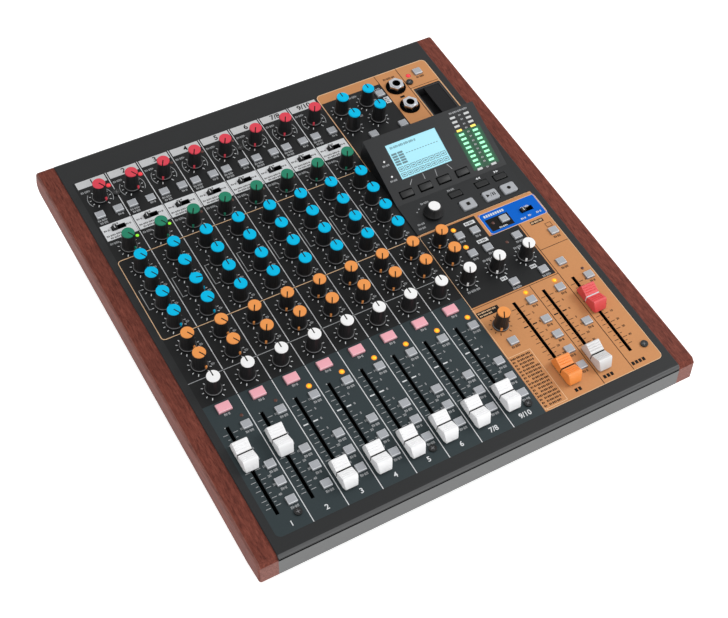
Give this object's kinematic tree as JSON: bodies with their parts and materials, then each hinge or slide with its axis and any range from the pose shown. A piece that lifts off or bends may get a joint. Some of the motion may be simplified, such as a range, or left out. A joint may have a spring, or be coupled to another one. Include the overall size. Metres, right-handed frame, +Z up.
{
  "type": "recording mixer",
  "caption": "Sloping table-top audio mixer with coloured rotary knobs, sliding faders, push buttons, a raised display with level meters, wooden end cheeks and a rear row of sockets.",
  "frame": {"origin": "centre of the bounding box's footprint, on the plane the feet stand on", "axes": "+X to the right of someone working at the mixer, +Y away from them to the rear, +Z up"},
  "size_m": [0.344, 0.3594, 0.0991],
  "materials": {
    "dark_metal": "fine textured satin",
    "steel_pan": "satin",
    "wood_cheek": "lacquered",
    "rubber_foot": "matte",
    "black_screw": "satin",
    "housing_plastic": "fine textured",
    "bay_plastic": "matte",
    "screen": "lit liquid crystal",
    "meter_lens": "translucent lens",
    "lamp_lens": "translucent lens",
    "board": "laminate",
    "pot_metal": "plated",
    "track_metal": "plated",
    "knob_black": "matte with gloss cap",
    "jack_metal": "plated",
    "socket_shell": "matte",
    "fader_white": "satin",
    "fader_orange": "satin",
    "fader_clear": "translucent",
    "fader_red": "satin",
    "key_grey": "satin",
    "key_pink": "satin",
    "key_black": "satin"
  },
  "bodies": {
    "chassis": {"top_panel": "dark_metal", "bottom_pan": "steel_pan", "rear_panel": "dark_metal", "side_panel_left": "wood_cheek", "side_panel_right": "wood_cheek", "rubber_feet": "rubber_foot", "case_screws": "black_screw", "display_housing": "housing_plastic", "card_bay": "bay_plastic", "lcd_panel": "screen", "meter_segments": "meter_lens", "indicator_lamps": "lamp_lens", "circuit_boards": "board", "pot_bodies": "pot_metal", "fader_tracks": "track_metal", "channel_knobs": "knob_black", "phones_jacks": "jack_metal", "main_outputs": "socket_shell", "microphone_inputs": "socket_shell", "line_sockets": "socket_shell", "utility_sockets": "socket_shell"},
    "fader_main": {"fader_main": "fader_red"},
    "fader_1": {"fader_1": "fader_white"},
    "fader_2": {"fader_2": "fader_white"},
    "fader_3": {"fader_3": "fader_white"},
    "fader_4": {"fader_4": "fader_white"},
    "fader_5": {"fader_5": "fader_white"},
    "fader_6": {"fader_6": "fader_white"},
    "fader_7": {"fader_7": "fader_white"},
    "fader_8": {"fader_8": "fader_white"},
    "fader_fx": {"fader_fx": "fader_orange"},
    "fader_sub": {"fader_sub": "fader_clear"},
    "channel_buttons": {"channel_buttons": "key_grey"},
    "master_buttons": {"master_buttons": "key_grey"},
    "record_buttons": {"record_buttons": "key_pink"},
    "transport_buttons": {"transport_buttons": "key_grey"},
    "soft_keys": {"soft_keys": "key_black"},
    "line_switches": {"line_switches": "key_black"},
    "card_door": {"card_door": "bay_plastic"},
    "power_switch": {"power_switch": "key_black"},
    "encoder_knob": {"encoder_knob": "knob_black"},
    "gain_knob_1": {"gain_knob_1": "knob_black"},
    "comp_knob_1": {"comp_knob_1": "knob_black"},
    "eq_high_knob_1": {"eq_high_knob_1": "knob_black"},
    "eq_mid_knob_1": {"eq_mid_knob_1": "knob_black"},
    "eq_tune_knob_1": {"eq_tune_knob_1": "knob_black"},
    "eq_low_knob_1": {"eq_low_knob_1": "knob_black"},
    "aux_1_knob_1": {"aux_1_knob_1": "knob_black"},
    "aux_2_knob_1": {"aux_2_knob_1": "knob_black"},
    "pan_knob_1": {"pan_knob_1": "knob_black"},
    "master_eq_high": {"master_eq_high": "knob_black"},
    "master_eq_mid": {"master_eq_mid": "knob_black"},
    "master_eq_low": {"master_eq_low": "knob_black"},
    "master_eq_tune": {"master_eq_tune": "knob_black"},
    "aux_master_1": {"aux_master_1": "knob_black"},
    "aux_master_2": {"aux_master_2": "knob_black"},
    "solo_level": {"solo_level": "knob_black"},
    "monitor_level": {"monitor_level": "knob_black"},
    "phones_level": {"phones_level": "knob_black"},
    "preset_knob": {"preset_knob": "knob_black"}
  },
  "joints": [
    {"name": "main_fader", "type": "slide", "parent": "chassis", "child": "fader_main", "axis": [0, 0.9848, 0.1736], "range_m": [-0.043, 0.017]},
    {"name": "channel_fader_1", "type": "slide", "parent": "chassis", "child": "fader_1", "axis": [0, 0.9848, 0.1736], "range_m": [-0.0404, 0.0196]},
    {"name": "channel_fader_2", "type": "slide", "parent": "chassis", "child": "fader_2", "axis": [0, 0.9848, 0.1736], "range_m": [-0.0404, 0.0196]},
    {"name": "channel_fader_3", "type": "slide", "parent": "chassis", "child": "fader_3", "axis": [0, 0.9848, 0.1736], "range_m": [0, 0.06]},
    {"name": "channel_fader_4", "type": "slide", "parent": "chassis", "child": "fader_4", "axis": [0, 0.9848, 0.1736], "range_m": [0, 0.06]},
    {"name": "channel_fader_5", "type": "slide", "parent": "chassis", "child": "fader_5", "axis": [0, 0.9848, 0.1736], "range_m": [0, 0.06]},
    {"name": "channel_fader_6", "type": "slide", "parent": "chassis", "child": "fader_6", "axis": [0, 0.9848, 0.1736], "range_m": [0, 0.06]},
    {"name": "channel_fader_7", "type": "slide", "parent": "chassis", "child": "fader_7", "axis": [0, 0.9848, 0.1736], "range_m": [0, 0.06]},
    {"name": "channel_fader_8", "type": "slide", "parent": "chassis", "child": "fader_8", "axis": [0, 0.9848, 0.1736], "range_m": [-0.0014, 0.0586]},
    {"name": "effects_fader", "type": "slide", "parent": "chassis", "child": "fader_fx", "axis": [0, 0.9848, 0.1736], "range_m": [0, 0.06]},
    {"name": "sub_fader", "type": "slide", "parent": "chassis", "child": "fader_sub", "axis": [0, 0.9848, 0.1736], "range_m": [0, 0.06]},
    {"name": "channel_buttons_press", "type": "slide", "parent": "chassis", "child": "channel_buttons", "axis": [0, 0.1736, -0.9848], "range_m": [0, 0.0014], "stiffness_N_per_m": 400},
    {"name": "master_buttons_press", "type": "slide", "parent": "chassis", "child": "master_buttons", "axis": [0, 0.1736, -0.9848], "range_m": [0, 0.0014], "stiffness_N_per_m": 400},
    {"name": "record_buttons_press", "type": "slide", "parent": "chassis", "child": "record_buttons", "axis": [0, 0.1736, -0.9848], "range_m": [0, 0.0014], "stiffness_N_per_m": 400},
    {"name": "transport_buttons_press", "type": "slide", "parent": "chassis", "child": "transport_buttons", "axis": [0, 0.1736, -0.9848], "range_m": [0, 0.0008], "stiffness_N_per_m": 400},
    {"name": "soft_keys_press", "type": "slide", "parent": "chassis", "child": "soft_keys", "axis": [0, 0.4735, -0.8808], "range_m": [0, 0.0008], "stiffness_N_per_m": 400},
    {"name": "slide_switches_travel", "type": "slide", "parent": "chassis", "child": "line_switches", "axis": [1, 0, 0], "range_m": [0, 0.006]},
    {"name": "card_door_hinge", "type": "hinge", "parent": "chassis", "child": "card_door", "pos_m": [0.148, 0.10738, 0.07691], "axis": [0, 0.9848, 0.1736], "range_deg": [0, 95]},
    {"name": "power_switch_rocker", "type": "hinge", "parent": "chassis", "child": "power_switch", "pos_m": [-0.13, 0.1692, 0.034], "axis": [1, 0, 0], "range_deg": [-11, 0]},
    {"name": "encoder_turn", "type": "hinge", "parent": "chassis", "child": "encoder_knob", "pos_m": [0.0737, 0.01132, 0.06083], "axis": [0, -0.1736, 0.9848], "continuous": true},
    {"name": "gain_1_turn", "type": "hinge", "parent": "chassis", "child": "gain_knob_1", "pos_m": [-0.1391, 0.13057, 0.08186], "axis": [0, -0.1736, 0.9848], "range_deg": [0, 300]},
    {"name": "comp_1_turn", "type": "hinge", "parent": "chassis", "child": "comp_knob_1", "pos_m": [-0.1391, 0.08025, 0.07298], "axis": [0, -0.1736, 0.9848], "range_deg": [0, 300]},
    {"name": "eq_high_1_turn", "type": "hinge", "parent": "chassis", "child": "eq_high_knob_1", "pos_m": [-0.1391, 0.05967, 0.06936], "axis": [0, -0.1736, 0.9848], "range_deg": [0, 300]},
    {"name": "eq_mid_1_turn", "type": "hinge", "parent": "chassis", "child": "eq_mid_knob_1", "pos_m": [-0.1391, 0.04184, 0.06621], "axis": [0, -0.1736, 0.9848], "range_deg": [0, 300]},
    {"name": "eq_tune_1_turn", "type": "hinge", "parent": "chassis", "child": "eq_tune_knob_1", "pos_m": [-0.1391, 0.02412, 0.06309], "axis": [0, -0.1736, 0.9848], "range_deg": [0, 300]},
    {"name": "eq_low_1_turn", "type": "hinge", "parent": "chassis", "child": "eq_low_knob_1", "pos_m": [-0.1391, 0.00639, 0.05996], "axis": [0, -0.1736, 0.9848], "range_deg": [0, 300]},
    {"name": "aux_1_1_turn", "type": "hinge", "parent": "chassis", "child": "aux_1_knob_1", "pos_m": [-0.1391, -0.01439, 0.0563], "axis": [0, -0.1736, 0.9848], "range_deg": [0, 300]},
    {"name": "aux_2_1_turn", "type": "hinge", "parent": "chassis", "child": "aux_2_knob_1", "pos_m": [-0.1391, -0.03231, 0.05314], "axis": [0, -0.1736, 0.9848], "range_deg": [0, 300]},
    {"name": "pan_1_turn", "type": "hinge", "parent": "chassis", "child": "pan_knob_1", "pos_m": [-0.1391, -0.05319, 0.04946], "axis": [0, -0.1736, 0.9848], "range_deg": [-150, 150]},
    {"name": "master_eq_high_turn", "type": "hinge", "parent": "chassis", "child": "master_eq_high", "pos_m": [0.0631, 0.13018, 0.08179], "axis": [0, -0.1736, 0.9848], "range_deg": [-150, 150]},
    {"name": "master_eq_mid_turn", "type": "hinge", "parent": "chassis", "child": "master_eq_mid", "pos_m": [0.0857, 0.12998, 0.08175], "axis": [0, -0.1736, 0.9848], "range_deg": [-150, 150]},
    {"name": "master_eq_low_turn", "type": "hinge", "parent": "chassis", "child": "master_eq_low", "pos_m": [0.0631, 0.11196, 0.07858], "axis": [0, -0.1736, 0.9848], "range_deg": [-150, 150]},
    {"name": "master_eq_tune_turn", "type": "hinge", "parent": "chassis", "child": "master_eq_tune", "pos_m": [0.0857, 0.11177, 0.07854], "axis": [0, -0.1736, 0.9848], "range_deg": [-150, 150]},
    {"name": "aux_master_1_turn", "type": "hinge", "parent": "chassis", "child": "aux_master_1", "pos_m": [0.0631, -0.01439, 0.0563], "axis": [0, -0.1736, 0.9848], "range_deg": [-300, 0]},
    {"name": "aux_master_2_turn", "type": "hinge", "parent": "chassis", "child": "aux_master_2", "pos_m": [0.0631, -0.03192, 0.05321], "axis": [0, -0.1736, 0.9848], "range_deg": [-300, 0]},
    {"name": "solo_level_turn", "type": "hinge", "parent": "chassis", "child": "solo_level", "pos_m": [0.0631, -0.05221, 0.04963], "axis": [0, -0.1736, 0.9848], "range_deg": [-300, 0]},
    {"name": "monitor_level_turn", "type": "hinge", "parent": "chassis", "child": "monitor_level", "pos_m": [0.0883, -0.05221, 0.04963], "axis": [0, -0.1736, 0.9848], "range_deg": [-300, 0]},
    {"name": "phones_level_turn", "type": "hinge", "parent": "chassis", "child": "phones_level", "pos_m": [0.1137, -0.05221, 0.04963], "axis": [0, -0.1736, 0.9848], "range_deg": [-300, 0]},
    {"name": "preset_knob_turn", "type": "hinge", "parent": "chassis", "child": "preset_knob", "pos_m": [0.0634, -0.09563, 0.04197], "axis": [0, -0.1736, 0.9848], "range_deg": [-300, 0]}
  ]
}
